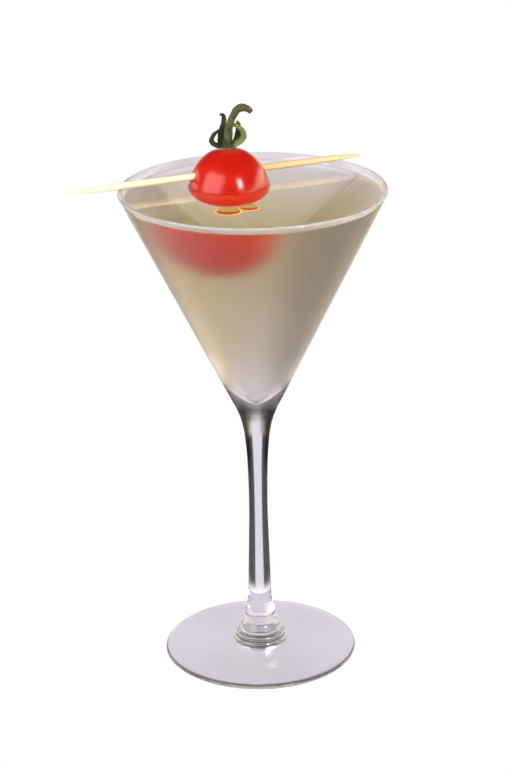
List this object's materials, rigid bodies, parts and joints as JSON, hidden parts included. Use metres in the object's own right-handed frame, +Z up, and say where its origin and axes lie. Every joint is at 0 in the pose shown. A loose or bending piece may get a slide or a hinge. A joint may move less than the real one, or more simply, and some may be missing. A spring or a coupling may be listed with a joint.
{
  "type": "martini cocktail in a stemmed glass",
  "caption": "Stemmed cone-shaped cocktail glass filled with a pale drink, with a cherry tomato on a bamboo pick across the rim and drops of oil afloat.",
  "frame": {"origin": "centre of the foot's flat underside", "axes": "+Z up along the glass's axis of turning, +X to the right and +Y away as the picture sees it"},
  "size_m": [0.113, 0.0964, 0.2079],
  "materials": {
    "glass": "clear polished glass, misted by condensation outside the bowl",
    "drink": "clear pale straw-coloured liquid",
    "tomato": "smooth glossy tomato skin",
    "calyx": "matt green leaf and stalk with fine hairs",
    "pick": "plain smooth bamboo",
    "oil": "clear golden oil"
  },
  "bodies": {
    "root": {"glass": "glass", "drink": "drink", "tomato": "tomato", "calyx": "calyx", "pick": "pick", "oil_drop_large": "oil", "oil_drop_small": "oil"}
  },
  "joints": []
}
